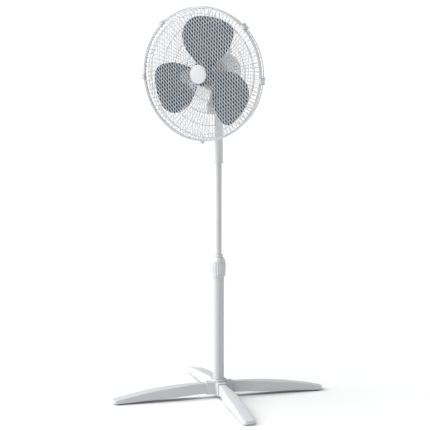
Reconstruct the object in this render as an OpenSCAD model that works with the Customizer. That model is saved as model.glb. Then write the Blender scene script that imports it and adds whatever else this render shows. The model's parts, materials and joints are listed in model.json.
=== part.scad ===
// Pedestal fan: arched cross base, telescopic pole, control box, tilting and
// oscillating motor head, three-blade impeller in a two-part wire guard.
// +Z is up, the fan blows towards -Y, the origin is on the floor under the pole.

/* [Overall] */
// Height of the fan's axis above the floor
axis_z = 1048; // [1020:1:1080]
// Radius of the guard's rim hoops
guard_r = 206; // [202:1:212]

/* [Base] */
// Distance from the pole's centre to a leg's tip
leg_reach = 350; // [320:1:380]
// Height of a leg's top face at its root
leg_root_top = 50; // [46:1:52]
// Height of a leg's top face near its tip
leg_tip_top = 13; // [11:1:18]
// Width of a leg at its root
leg_root_w = 22; // [20:1:24]
// Width of a leg from its middle outwards
leg_w = 38; // [30:1:42]
// Wall thickness of the moulded pieces
wall = 2.5; // [2:0.1:3]

/* [Pole] */
// Outer radius of the lower tube
lower_r = 17.5; // [16:0.5:19]
// Outer radius of the upper tube
upper_r = 9.5; // [8:0.5:11]
// Height of the clamp's foot on the lower tube
clamp_z = 395; // [380:1:400]
// Height of the neck sleeve's lower end
sleeve_z = 760; // [740:1:780]

/* [Control box] */
// Height of the control box's underside
box_z = 916; // [910:1:920]
// Width of the control box
box_w = 56; // [52:1:60]
// Depth of the control box
box_d = 58; // [54:1:62]
// Speed buttons, the first being off
button_count = 4; // [4:1:4]

/* [Head] */
// Radius of the motor housing
housing_r = 57.5; // [56:0.5:59]
// Radius of the impeller
blade_r = 182; // [174:1:184]
// Spokes in the rear guard
spoke_count = 36; // [24:12:48]

/* [Hidden] */

$fn = 48;
e = 0.01;
run_gap = 0.06;      // radial clearance of a running fit
gap = 0.3;           // clearance between faces that only pass each other
white = [0.93, 0.94, 0.95];
slate = [0.23, 0.33, 0.42];
steel = [0.72, 0.73, 0.75];
rubber = [0.16, 0.16, 0.17];

// Base
leg_angle = 45;
leg_from = 20;                   // a leg's root, inside its socket
socket_out = 44;                 // outer end of a socket
leg_root_bot = 15;
leg_tip_bot = 3;
tip_r = leg_w / 2;
tip_c = leg_reach - tip_r;       // centre of a leg's rounded end
arch_len = leg_reach - 10 - leg_from;
hub_r = 22.5;
hub_top = 60;
hub_bot = 12;
tube_foot = 24;
pad_r = 13;
pad_at = tip_c + 1;

// Pole
lower_wall = 1.5;
upper_wall = 1.2;
lower_top = clamp_z + 42;
bore_r = lower_r - lower_wall;
upper_bot = 348;
upper_top = box_z - 8;
nut_z = clamp_z + 6;
nut_r = 21.6;
nut_h = 48;
shoulder_h = 9;
collet_ring = nut_z + nut_h + shoulder_h + gap;
collet_top = collet_ring + 7.7;
sleeve_r = 13.5;

// Control box and tilt
tilt_z = 972;
pivot_y = 5;
deck_z = 958;
cheek_top = 984;
cheek_in = 20;
pin_r = 3;
button_pitch = 11;
button_w = 9;
button_z = box_z + 22;
button_h = 17;
box_front = -box_d / 2;

// Head, measured forwards from the pole's centre along the fan's axis
cover_front = 45;
cover_split = 18;
housing_back = -70;
shaft_r = 4;
shaft_from = -56;
shaft_to = 112;
boss_r = 20;
stator_r = 37;
rotor_r = 19.6;
knob_x = 15;
knob_y = 45;
knob_lift = 57;               // underside of the knob's cap above the fan's axis
worm_r = 5;
crank_z = 1014;
link_z = 1004;
post_x = 10;
hub_blade_r = 39;
hub_back = 66;
hub_front = 106;
spinner_r = 32;
corner_r = guard_r - 6;
corner_d = 79;
rim_back_d = 98;
rim_front_d = 110;
wire_r = 1.3;
hoop_r = 2;
face_r = guard_r - 14;
face_d = 126;
badge_r = 29;
clip_angles = [45, -4, 133, 184];
clip_w = 15;
clip_pin_r = guard_r + 6.2;
clip_pin_d = 96;

// Places children on the fan's axis: their +Z points forwards, their +Y up.
module on_axis() {
  translate([0, 0, axis_z]) rotate([90, 0, 0]) children();
}

// A tube or ring along +Z.
module ring(outer, inner, height) {
  difference() {
    cylinder(r = outer, h = height);
    translate([0, 0, -1]) cylinder(r = inner, h = height + 2);
  }
}

// A round wire bent into a hoop about +Z.
module hoop(radius, wire) {
  rotate_extrude() translate([radius, 0]) circle(r = wire);
}

// A straight round wire from a to b.
module wire(a, b, radius) {
  v = b - a;
  flat = norm([v[0], v[1]]);
  translate(a) rotate([0, atan2(flat, v[2]), atan2(v[1], v[0])]) cylinder(r = radius, h = norm(v), $fn = 16);
}

// A rounded rectangle prism standing on +Z.
module slab(size, corner) {
  linear_extrude(size[2]) union() {
    square([size[0] - 2 * corner, size[1]], center = true);
    square([size[0], size[1] - 2 * corner], center = true);
    for (sx = [-1, 1], sy = [-1, 1])
      translate([sx * (size[0] / 2 - corner), sy * (size[1] / 2 - corner)]) circle(r = corner);
  }
}

// A pan-head screw: its head sits on z = 0 and its shank runs down.
module screw(head_r, shank_r, length) {
  cylinder(r = head_r, h = 0.7 * head_r);
  translate([0, 0, -length]) cylinder(r = shank_r, h = length + e);
}

// ---- Base ----

// How far along its arch a point at radius r is, from 0 to 1.
function along(r) = max(0, min(1, (r - leg_from) / arch_len));
function leg_top(r) = leg_root_top - (leg_root_top - leg_tip_top) * pow(along(r), 2.1);
function leg_bot(r) = leg_root_bot - (leg_root_bot - leg_tip_bot) * pow(along(r), 1.5);
function ease(t) = t * t * (3 - 2 * t);
function squarer(c) = sign(c) * pow(abs(c), 0.77);
function leg_half(r) =
  (leg_root_w + (leg_w - leg_root_w) * ease(max(0, min(1, (r - socket_out) / 130)))) / 2;

// The space of a leg along +X, taken in by inset on its sides, ends and top.
module leg_space(inset, from, floor_drop) {
  steps = [from : 12 : leg_reach - inset];
  intersection() {
    rotate([90, 0, 0]) linear_extrude(2 * leg_w, center = true) polygon(concat(
      [for (r = steps) [r, leg_top(r) - inset]],
      [[leg_reach, leg_top(leg_reach) - inset], [leg_reach, leg_bot(leg_reach) - floor_drop]],
      [for (i = [len([for (r = steps) r]) - 1 : -1 : 0]) let (r = from + 12 * i) [r, leg_bot(r) - floor_drop]]));
    linear_extrude(4 * leg_root_top, center = true) polygon(concat(
      [for (r = [from : 12 : tip_c]) [r, -leg_half(r) + inset]],
      [for (a = [-90 : 10 : 90]) [tip_c + (tip_r - inset) * squarer(cos(a)), (tip_r - inset) * squarer(sin(a))]],
      [for (i = [floor((tip_c - from) / 12) : -1 : 0]) let (r = from + 12 * i) [r, leg_half(r) - inset]]));
  }
}

module leg(turn) {
  color(white) rotate([0, 0, turn]) difference() {
    leg_space(0, leg_from + 4, 0);
    leg_space(wall, socket_out + 8, 6);
    translate([34, 0, 0]) cylinder(r = 2, h = 32);
  }
}

module leg_front_right() { leg(-leg_angle); }
module leg_back_right() { leg(leg_angle); }
module leg_back_left() { leg(180 - leg_angle); }
module leg_front_left() { leg(180 + leg_angle); }

module each_leg() {
  for (k = [0 : 3]) rotate([0, 0, leg_angle + 90 * k]) children();
}

module base_hub() {
  socket_w = leg_root_w + 2 * gap;
  color(white) difference() {
    union() {
      translate([0, 0, hub_bot]) cylinder(r = hub_r, h = hub_top - hub_bot);
      translate([0, 0, hub_top - 4]) cylinder(r = hub_r + 2, h = 2.5);
      each_leg() translate([hub_r / 2, -leg_root_w / 2 - wall, hub_bot])
        cube([socket_out - hub_r / 2, leg_root_w + 2 * wall, leg_root_top + wall - hub_bot]);
    }
    each_leg() translate([leg_from + 3, -socket_w / 2, leg_root_bot - 1])
      cube([socket_out, socket_w, leg_root_top + gap - leg_root_bot + 1]);
    each_leg() translate([34, 0, 0]) cylinder(r = 2.6, h = leg_root_bot);
    translate([0, 0, tube_foot]) cylinder(r = lower_r + 0.05, h = hub_top);
    cylinder(r = 4.2, h = tube_foot + 1);
    translate([0, 0, hub_bot - 1]) cylinder(r = 9, h = 4);
  }
}

module foot_pads() {
  color(rubber) each_leg() translate([pad_at, 0, 0]) {
    cylinder(r = pad_r, h = 7);
    translate([0, 0, 0.8]) cylinder(r = pad_r + 0.8, h = 2);
  }
}

module leg_screws() {
  color(steel) each_leg() translate([34, 0, hub_bot]) rotate([180, 0, 0]) screw(4.2, 1.95, 17);
}

module pole_bolt() {
  color(steel) translate([0, 0, hub_bot + 3]) rotate([180, 0, 0]) screw(7.5, 3.9, 24);
}

module pole_insert() {
  color(steel) difference() {
    translate([0, 0, tube_foot + 2]) cylinder(r = bore_r, h = 16);
    cylinder(r = 3.95, h = 60);
  }
}

// ---- Pole ----

module lower_tube() {
  color(white) translate([0, 0, tube_foot]) ring(lower_r, bore_r, lower_top - tube_foot);
}

// Sleeve fixed on the lower tube's head, with the flange that the nut stands on.
module clamp_body() {
  color(white) translate([0, 0, clamp_z]) difference() {
    union() {
      cylinder(r = 20.4, h = 5.6);
      cylinder(r = lower_r + 1.4, h = 46);
    }
    translate([0, 0, -1]) cylinder(r = lower_r, h = 43);
    cylinder(r = upper_r + 3.4, h = 60);
  }
}

// Split bush that the nut squeezes on to the upper tube.
module clamp_collet() {
  color(white) translate([0, 0, clamp_z + 30]) difference() {
    union() {
      cylinder(r = upper_r + 3.2, h = collet_ring - clamp_z - 29);
      translate([0, 0, collet_ring - clamp_z - 30]) cylinder(r = sleeve_r, h = collet_top - collet_ring);
    }
    translate([0, 0, -1]) cylinder(r = upper_r + run_gap, h = 60);
    for (k = [0 : 2]) rotate([0, 0, 60 + 120 * k]) translate([0, -0.8, -1]) cube([30, 1.6, 28]);
  }
}

// Ribbed clamp nut with its conical shoulder.
module clamp_nut() {
  rib_count = 30;
  color(white) translate([0, 0, nut_z]) difference() {
    union() {
      cylinder(r = nut_r, h = nut_h);
      for (k = [0 : rib_count - 1]) rotate([0, 0, k * 360 / rib_count])
        translate([nut_r, 0, 3]) cylinder(r = 1, h = nut_h - 9, $fn = 16);
      translate([0, 0, nut_h]) cylinder(r1 = nut_r - 1, r2 = sleeve_r + 1, h = shoulder_h);
    }
    translate([0, 0, -1]) cylinder(r = lower_r + 1.4 + gap, h = nut_h - 6);
    cylinder(r = upper_r + 3.2 + gap, h = 90);
  }
}

module upper_tube() {
  color(white) translate([0, 0, upper_bot]) ring(upper_r, upper_r - upper_wall, upper_top - upper_bot);
}

module tube_guide() {
  color(rubber) translate([0, 0, upper_bot - 4]) difference() {
    cylinder(r = bore_r - run_gap, h = 24);
    translate([0, 0, 4]) cylinder(r = upper_r, h = 30);
    translate([0, 0, -1]) cylinder(r = 5, h = 30);
  }
}

module neck_sleeve() {
  color(white) difference() {
    union() {
      translate([0, 0, sleeve_z]) cylinder(r = sleeve_r, h = box_z - sleeve_z + 1);
      translate([0, 0, sleeve_z]) cylinder(r1 = sleeve_r + 1.2, r2 = sleeve_r, h = 10);
      translate([0, 0, box_z - 12]) cylinder(r1 = sleeve_r, r2 = sleeve_r + 5, h = 12 - gap);
    }
    translate([0, 0, sleeve_z - 1]) cylinder(r = upper_r, h = upper_top - sleeve_z + 1);
    translate([0, 0, sleeve_z]) cylinder(r = 6, h = 200);
    translate([0, 0, sleeve_z + 22]) rotate([-90, 0, 0]) cylinder(r = 2, h = 40);
    translate([0, sleeve_r - 0.2, sleeve_z + 22]) rotate([-90, 0, 0]) cylinder(r = 4.1, h = 10);
  }
}

module neck_screw() {
  color(steel) translate([0, sleeve_r - 0.2, sleeve_z + 22]) rotate([-90, 0, 0]) screw(4, 1.95, sleeve_r - upper_r - 1);
}

// ---- Control box ----

// The whole box: a rounded case whose two cheeks hold the tilt pin.
module box_shape() {
  translate([0, 0, box_z]) slab([box_w, box_d, deck_z - box_z], 9);
  for (side = [-1, 1]) translate([side * (cheek_in + box_w / 2) / 2, 0, 0]) {
    translate([0, pivot_y, tilt_z]) rotate([0, 90, 0]) cylinder(r = cheek_top - tilt_z, h = box_w / 2 - cheek_in, center = true);
    translate([0, 0, (deck_z + tilt_z) / 2 - 5]) hull() {
      translate([0, pivot_y, 4]) cube([box_w / 2 - cheek_in, 2 * (cheek_top - tilt_z), 2], center = true);
      translate([0, 0, -8]) cube([box_w / 2 - cheek_in, box_d - 18, 2], center = true);
    }
  }
}

module box_shell() {
  difference() {
    box_shape();
    translate([0, 0, box_z + wall]) slab([box_w - 2 * wall, box_d - 2 * wall, deck_z - box_z - 2 * wall], 6.5);
    translate([0, 0, box_z - 1]) cylinder(r = sleeve_r + 0.2, h = 4);
    translate([-50, pivot_y, tilt_z]) rotate([0, 90, 0]) cylinder(r = pin_r + e, h = 100);
  }
}

module half_space(front) {
  translate([-60, front ? -60 + pivot_y - 0.05 : pivot_y + 0.05, box_z - 10]) cube([120, 60, 100]);
}

module control_box_front() {
  color(white) difference() {
    intersection() {
      box_shell();
      half_space(true);
    }
    for (k = [0 : button_count - 1]) translate([button_at(k) - button_w / 2 - gap, box_front - 1, button_z - gap])
      cube([button_w + 2 * gap, 8, button_h + 2 * gap]);
  }
}

module control_box_rear() {
  color(white) difference() {
    intersection() {
      box_shell();
      half_space(false);
    }
    translate([0, 0, box_z + 12]) rotate([-90, 0, 0]) cylinder(r = 5, h = 60);
  }
}

function button_at(k) = (k - (button_count - 1) / 2) * button_pitch;

module speed_switch() {
  color(rubber) difference() {
    translate([-24, -13, box_z + 8]) cube([48, 12, 31]);
    for (k = [0 : button_count - 1]) translate([button_at(k) - 3, -14, button_z + 5]) cube([6, 9, 7]);
  }
}

module button(k) {
  color(white) translate([button_at(k), box_front, button_z]) {
    translate([-button_w / 2, -5, 0]) cube([button_w, 11, button_h]);
    translate([-button_w / 2, -6.2, 2]) cube([button_w, 2, button_h - 4]);
    translate([-2.5, 5, 5.5]) cube([5, 14, 6]);
  }
}

module button_0() { button(0); }
module button_1() { button(1); }
module button_2() { button(2); }
module button_3() { button(3); }

module cord_gland() {
  color(white) translate([0, box_d / 2, box_z + 12]) rotate([-90, 0, 0]) difference() {
    union() {
      translate([0, 0, -6]) cylinder(r = 4.9, h = 8);
      cylinder(r = 6.5, h = 2.5);
      translate([0, 0, 2.5]) cylinder(r1 = 5.2, r2 = 4, h = 9);
    }
    translate([0, 0, -10]) cylinder(r = 3, h = 40);
  }
}

module tilt_bracket() {
  color(white) difference() {
    union() {
      translate([0, pivot_y, tilt_z]) rotate([0, 90, 0]) cylinder(r = 11, h = 2 * (cheek_in - gap), center = true);
      translate([0, pivot_y, tilt_z]) cylinder(r = 14.5, h = 24);
      translate([post_x, pivot_y, tilt_z + 20]) cylinder(r = 2.4, h = link_z + 5 - tilt_z - 20);
    }
    translate([-50, pivot_y, tilt_z]) rotate([0, 90, 0]) cylinder(r = pin_r + run_gap, h = 100);
    translate([0, pivot_y, tilt_z + 12]) cylinder(r = 5, h = 40);
  }
}

module tilt_pin() {
  color(steel) translate([0, pivot_y, tilt_z]) rotate([0, 90, 0]) {
    cylinder(r = pin_r, h = box_w + 1, center = true);
    for (side = [0, 180]) rotate([side, 0, 0]) translate([0, 0, box_w / 2]) cylinder(r = 5.5, h = 2.4);
  }
}

// Rod between the crank and the bracket's post.
module oscillation_link() {
  crank = [knob_x - 20.3, knob_y - 9];
  reach = crank - [post_x, pivot_y];
  color(steel) translate([post_x, pivot_y, link_z]) rotate([0, 0, atan2(reach[1], reach[0])]) difference() {
    union() {
      cylinder(r = 5, h = 3.5);
      translate([norm(reach), 0, 0]) cylinder(r = 5, h = 3.5);
      translate([0, -3.5, 0]) cube([norm(reach), 7, 3.5]);
    }
    translate([0, 0, -1]) cylinder(r = 2.4 + run_gap, h = 8);
    translate([norm(reach), 0, -1]) cylinder(r = 2.4, h = 8);
  }
}

// ---- Motor housing ----

// Half section of the housing's dome, taken in by inset.
function dome(inset) = concat(
  [[0, housing_back + inset], [22, housing_back + inset]],
  [for (a = [-80 : 10 : 0]) [housing_r - 36 - inset + 36 * cos(a), housing_back + 36 + 36 * sin(a) + inset]],
  [[housing_r - inset, cover_split], [0, cover_split]]);

module motor_rear_cover() {
  color(white) difference() {
    on_axis() difference() {
      rotate_extrude($fn = 96) polygon(dome(0));
      translate([0, 0, e]) rotate_extrude($fn = 96) polygon(dome(wall));
      for (row = [0 : 2], k = [-4 : 4]) rotate([0, 0, 90 * row + 9 * k])
        translate([housing_r - 8, -1.2, -18]) cube([12, 2.4, 24]);
      for (k = [-3 : 3]) translate([-22 + abs(k) * 3, 7 * k - 1.5, housing_back - 2])
        cube([44 - abs(k) * 6, 3, 8]);
    }
    translate([0, pivot_y, axis_z - housing_r - 5]) cylinder(r = 16, h = 20);
    translate([knob_x, knob_y, axis_z]) cylinder(r = 3.6, h = 80);
  }
}

module motor_front_cover() {
  color(white) on_axis() difference() {
    union() {
      rotate_extrude($fn = 96) polygon([[0, cover_split + 0.1], [housing_r, cover_split + 0.1],
        [housing_r, cover_front - 10], [housing_r - 3, cover_front - 3], [housing_r - 10, cover_front], [0, cover_front]]);
      translate([0, 0, cover_front - 1]) cylinder(r = boss_r, h = 13);
    }
    translate([0, 0, cover_split - 1]) cylinder(r = housing_r - wall, h = 20);
    translate([0, 0, cover_split - 1]) cylinder(r = 15, h = 60);
    for (k = [0 : 11]) rotate([0, 0, 30 * k]) translate([30, -1.6, cover_split]) cube([17, 3.2, 40]);
    for (a = [45 : 90 : 315]) rotate([0, 0, a]) {
      translate([52, 0, cover_split]) cylinder(r = 1.25, h = 40);
      translate([52, 0, cover_front - 1.6]) cylinder(r = 2.6, h = 10);
    }
  }
}

module cover_screws() {
  color(steel) on_axis() for (a = [45 : 90 : 315]) rotate([0, 0, a])
    translate([52, 0, cover_front - 1.6]) screw(2.3, 1.2, 6);
}

module motor_front_frame() {
  color(steel) on_axis() translate([0, 0, 31]) difference() {
    union() {
      translate([0, 0, 1.3]) cylinder(r = stator_r, h = 2.5);
      cylinder(r = 13, h = 8);
    }
    translate([0, 0, -1]) cylinder(r = 9, h = 20);
  }
}

module motor_rear_frame() {
  color(steel) on_axis() translate([0, 0, -26]) difference() {
    union() {
      translate([0, 0, 5.5]) cylinder(r = stator_r, h = 2.5);
      cylinder(r = 13, h = 8);
    }
    translate([0, 0, -1]) cylinder(r = 9, h = 20);
  }
}

module bearing(at) {
  color(steel) on_axis() translate([0, 0, at]) ring(9, shaft_r + run_gap, 7);
}

module front_bearing() { bearing(31.5); }
module rear_bearing() { bearing(-25.5); }

module stator() {
  color(steel) on_axis() translate([0, 0, -8]) difference() {
    cylinder(r = stator_r, h = 32);
    translate([0, 0, -1]) cylinder(r = rotor_r + 0.4, h = 40);
    for (k = [0 : 7]) rotate([0, 0, 22.5 + 45 * k]) translate([23.5, -3, -1]) cube([7, 6, 40]);
  }
}

module windings() {
  color([0.72, 0.42, 0.22]) on_axis() for (at = [-16, 24 + gap]) translate([0, 0, at]) ring(33, 22.5, 8 - gap);
}

module rotor_core() {
  color(steel) on_axis() translate([0, 0, -8]) ring(rotor_r, shaft_r, 32);
}

module motor_shaft() {
  color(steel) on_axis() difference() {
    translate([0, 0, shaft_from]) cylinder(r = shaft_r, h = shaft_to - shaft_from);
    translate([-10, 0, 78]) rotate([0, 90, 0]) cylinder(r = 1.5, h = 20);
  }
}

// Worm with its thread drawn as close rings.
module worm() {
  color(steel) on_axis() translate([0, 0, -54]) difference() {
    rotate_extrude() polygon(concat([[0, 0], [worm_r - 0.6, 0]],
      [for (k = [0 : 17]) [worm_r - (k % 2) * 0.7, 0.5 + k]], [[worm_r - 0.6, 18], [0, 18]]));
    translate([0, 0, -1]) cylinder(r = shaft_r, h = 30);
  }
}

// A flat toothed wheel about +Z with its tips at tip.
module gear(tip, teeth, height) {
  linear_extrude(height) polygon([for (k = [0 : 2 * teeth - 1])
    let (a = 180 * k / teeth, r = k % 2 == 0 ? tip : tip - 1.2) [r * cos(a), r * sin(a)]]);
}

module worm_wheel() {
  color([0.9, 0.88, 0.8]) translate([knob_x, knob_y, 0]) difference() {
    union() {
      translate([0, 0, axis_z - 4]) gear(9.7, 24, 8);
      translate([0, 0, crank_z]) cylinder(r = 3.6, h = axis_z - crank_z);
      translate([0, 0, crank_z]) gear(6, 12, 6);
    }
    cylinder(r = 2 + run_gap, h = 2 * axis_z);
  }
}

module crank_gear() {
  color([0.9, 0.88, 0.8]) translate([knob_x - 20.3, knob_y, crank_z]) {
    gear(14, 28, 6);
    translate([0, -9, -3.5]) cylinder(r = 2.3, h = 4);
    cylinder(r = 3, h = 16);
  }
}

module gearbox_case() {
  plate = [44, 34, 3];
  color(steel) difference() {
    union() {
      translate([-20, 27, crank_z + 9]) cube(plate);
      translate([-20, 27, axis_z + 10]) cube(plate);
      translate([-20, 24 + 2.5, crank_z + 9]) cube([5, plate[1], axis_z + 4 - crank_z]);
    }
    translate([knob_x, knob_y, 0]) cylinder(r = 3.6 + run_gap, h = 2 * axis_z);
    translate([knob_x - 20.3, knob_y, 0]) cylinder(r = 3 + run_gap, h = axis_z - 5);
  }
}

module oscillation_knob() {
  color(white) translate([knob_x, knob_y, 0]) {
    translate([0, 0, crank_z + 1]) cylinder(r = 2, h = axis_z + knob_lift - crank_z);
    translate([0, 0, axis_z + knob_lift]) cylinder(r1 = 5, r2 = 6.5, h = 12);
    translate([0, 0, axis_z + knob_lift + 12 - e]) cylinder(r1 = 6.5, r2 = 4.5, h = 3);
  }
}

module capacitor() {
  color(rubber) translate([-16, pivot_y + 6, box_z + 6]) cube([32, 11, 20]);
}

// ---- Guard ----

module rear_guard() {
  rings = [0.27, 0.52, 0.76];
  root = [46, cover_front + 2.5];
  function cone(t) = root + t * ([corner_r, corner_d] - root);
  color(white) on_axis() union() {
    translate([0, 0, cover_front + 0.2]) ring(50, boss_r + gap, 3);
    for (k = [0 : spoke_count - 1]) rotate([0, 0, k * 360 / spoke_count]) {
      wire([root[0], 0, root[1]], [corner_r, 0, corner_d], wire_r);
      wire([corner_r, 0, corner_d], [guard_r, 0, rim_back_d], wire_r);
    }
    for (t = rings) translate([0, 0, cone(t)[1]]) hoop(cone(t)[0], hoop_r);
    translate([0, 0, corner_d]) hoop(corner_r, hoop_r);
    translate([0, 0, rim_back_d]) hoop(guard_r, hoop_r);
  }
}

module guard_nut() {
  color(white) on_axis() translate([0, 0, cover_front + 3.6]) difference() {
    union() {
      cylinder(r = 29, h = 7.5);
      for (k = [0 : 5]) rotate([0, 0, 60 * k + 15]) translate([27, -4, 0.6]) cube([7, 8, 6]);
    }
    translate([0, 0, -1]) cylinder(r = boss_r + 0.05, h = 20);
  }
}

// The lattice face, simplified to rings and bars.
module front_grille() {
  bar = 1.6;
  color(white) on_axis() translate([0, 0, face_d]) linear_extrude(bar) union() {
    for (r = [badge_r - 5 : 19 : face_r - 6]) difference() {
      circle(r = r + bar / 2);
      circle(r = r - bar / 2);
    }
    for (k = [0 : 17]) rotate(10 * k) difference() {
      square([2 * face_r - 3.7, bar], center = true);
      circle(r = badge_r - 6);
    }
  }
}

module front_guard_frame() {
  color(white) on_axis() union() {
    translate([0, 0, face_d + 0.8]) hoop(face_r, 1.8);
    translate([0, 0, rim_front_d]) hoop(guard_r - 2.6, 1.8);
    for (k = [0 : 35]) rotate([0, 0, 10 * k + 5])
      wire([face_r + 0.4, 0, face_d + 0.2], [guard_r - 3, 0, rim_front_d + 0.6], wire_r - 0.2);
  }
}

module guard_badge() {
  color(white) on_axis() {
    translate([0, 0, face_d + 1.7]) cylinder(r = badge_r, h = 2.8);
    translate([0, 0, face_d - 1.4]) cylinder(r = badge_r - 8, h = 3.4);
  }
}

module trim_ring() {
  lug = 3;
  color(white) on_axis() difference() {
    union() {
      translate([0, 0, rim_back_d + 2.1]) ring(guard_r + 2.6, guard_r - 0.6, rim_front_d - rim_back_d);
      for (a = clip_angles, side = [-1, 1]) rotate([0, 0, a])
        translate([guard_r + 2.1, side * (clip_w / 2 + gap + lug / 2) - lug / 2, clip_pin_d - 3]) cube([6.9, lug, 11]);
      rotate([0, 0, -90]) translate([guard_r + 1, -6, rim_back_d + 3]) cube([9, 12, 4]);
    }
    for (a = clip_angles) rotate([0, 0, a]) translate([clip_pin_r, 20, clip_pin_d]) rotate([90, 0, 0]) cylinder(r = 1.2, h = 40);
    rotate([0, 0, -90]) translate([guard_r + 6, 0, 90]) cylinder(r = 1.5, h = 30);
  }
}

// Snap clip: its barrel is behind the rim, its lip in front of the front hoop.
module guard_clip(k) {
  color(white) on_axis() rotate([0, 0, clip_angles[k]]) {
    translate([clip_pin_r, clip_w / 2, clip_pin_d]) rotate([90, 0, 0]) cylinder(r = 2.2, h = clip_w);
    translate([clip_pin_r, clip_w / 2 + 3, clip_pin_d]) rotate([90, 0, 0]) cylinder(r = 1.15, h = clip_w + 6);
    translate([guard_r + 4.4, -clip_w / 2, clip_pin_d]) cube([2.6, clip_w, 20]);
    translate([guard_r - 3.2, -clip_w / 2, clip_pin_d + 17.6]) cube([10.2, clip_w, 2.4]);
  }
}

module guard_clip_1() { guard_clip(0); }
module guard_clip_2() { guard_clip(1); }
module guard_clip_3() { guard_clip(2); }
module guard_clip_4() { guard_clip(3); }

module guard_screw() {
  color(steel) on_axis() rotate([0, 0, -90]) translate([guard_r + 6, 0, rim_back_d + 7.1]) screw(3, 1.45, 9);
}

// ---- Impeller ----

// One blade: u runs from the leading edge to the trailing edge, v from root to tip.
blade_u = 12;
blade_v = 9;
blade_t = 2.2;
lead_half = 33;
trail_half = 36;
root_r = hub_blade_r - 4;
function blade_end(u) = blade_r - 24 * pow(max(0, 0.14 - u) / 0.14, 2) - 42 * pow(max(0, u - 0.62) / 0.38, 2.2);
function blade_turn(u, v) = (-lead_half + (lead_half + trail_half) * u) * (1 + 0.16 * sin(180 * v) + 0.1 * (1 - v));
function blade_out(u, v) = root_r + (blade_end(u) - root_r) * v;
function blade_d(u, v) = (70 + 14 * v) + (33 - 5 * v) * (u + 0.16 * sin(180 * u));
function blade_point(u, v, lift) = let (a = 90 + blade_turn(u, v), r = blade_out(u, v))
  [r * cos(a), r * sin(a), blade_d(u, v) + lift];

module blade() {
  n = blade_u + 1;
  m = blade_v + 1;
  half = n * m;
  skin = [for (lift = [blade_t, 0], j = [0 : blade_v], i = [0 : blade_u])
    blade_point(i / blade_u, j / blade_v, lift)];
  function at(i, j, side) = side * half + j * n + i;
  faces = concat(
    [for (j = [0 : blade_v - 1], i = [0 : blade_u - 1]) each
      [[at(i, j, 1), at(i, j + 1, 1), at(i + 1, j + 1, 1)], [at(i, j, 1), at(i + 1, j + 1, 1), at(i + 1, j, 1)],
       [at(i, j, 0), at(i + 1, j + 1, 0), at(i, j + 1, 0)], [at(i, j, 0), at(i + 1, j, 0), at(i + 1, j + 1, 0)]]],
    [for (i = [0 : blade_u - 1]) each
      [[at(i, 0, 0), at(i, 0, 1), at(i + 1, 0, 1)], [at(i, 0, 0), at(i + 1, 0, 1), at(i + 1, 0, 0)],
       [at(i, blade_v, 0), at(i + 1, blade_v, 1), at(i, blade_v, 1)], [at(i, blade_v, 0), at(i + 1, blade_v, 0), at(i + 1, blade_v, 1)]]],
    [for (j = [0 : blade_v - 1]) each
      [[at(0, j, 0), at(0, j + 1, 1), at(0, j, 1)], [at(0, j, 0), at(0, j + 1, 0), at(0, j + 1, 1)],
       [at(blade_u, j, 0), at(blade_u, j, 1), at(blade_u, j + 1, 1)], [at(blade_u, j, 0), at(blade_u, j + 1, 1), at(blade_u, j + 1, 0)]]]);
  polyhedron(points = skin, faces = faces, convexity = 4);
}

module fan_blade() {
  color(slate) on_axis() difference() {
    union() {
      difference() {
        translate([0, 0, hub_back]) cylinder(r = hub_blade_r, h = hub_front - hub_back);
        translate([0, 0, hub_back - 1]) cylinder(r = hub_blade_r - 5, h = hub_front - hub_back - 3);
      }
      translate([0, 0, hub_back + 4]) cylinder(r = 10, h = hub_front - hub_back - 5);
      for (k = [0 : 2]) rotate([0, 0, 120 * k]) blade();
    }
    translate([0, 0, 50]) cylinder(r = shaft_r, h = 80);
    translate([-7.5, 0, 78]) rotate([0, 90, 0]) cylinder(r = 1.7, h = 15);
    translate([-7.5, -1.7, 60]) cube([15, 3.4, 18]);
  }
}

module drive_pin() {
  color(steel) on_axis() translate([-7, 0, 78]) rotate([0, 90, 0]) cylinder(r = 1.5, h = 14);
}

module spinner() {
  color(slate) on_axis() translate([0, 0, hub_front + 0.05]) difference() {
    rotate_extrude() polygon(concat([[0, 0], [spinner_r, 0]], [for (a = [0 : 15 : 90]) [spinner_r * cos(a), 5 + 8 * sin(a)]]));
    translate([0, 0, -1]) cylinder(r = shaft_r + 0.02, h = shaft_to - hub_front + 1);
  }
}

base_hub();
leg_front_right();
leg_back_right();
leg_back_left();
leg_front_left();
foot_pads();
leg_screws();
pole_bolt();
pole_insert();
lower_tube();
clamp_body();
clamp_collet();
clamp_nut();
upper_tube();
tube_guide();
neck_sleeve();
neck_screw();
control_box_front();
control_box_rear();
speed_switch();
button_0();
button_1();
button_2();
button_3();
cord_gland();
tilt_bracket();
tilt_pin();
oscillation_link();
motor_front_cover();
motor_rear_cover();
cover_screws();
motor_front_frame();
motor_rear_frame();
stator();
windings();
motor_shaft();
rotor_core();
front_bearing();
rear_bearing();
worm();
worm_wheel();
crank_gear();
gearbox_case();
oscillation_knob();
capacitor();
rear_guard();
guard_nut();
fan_blade();
drive_pin();
spinner();
front_grille();
front_guard_frame();
guard_badge();
trim_ring();
guard_clip_1();
guard_clip_2();
guard_clip_3();
guard_clip_4();
guard_screw();
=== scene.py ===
"""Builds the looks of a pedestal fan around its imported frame."""

import json
import math
from contextlib import contextmanager
from functools import partial

import bpy
from mathutils import Matrix, Vector


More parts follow.
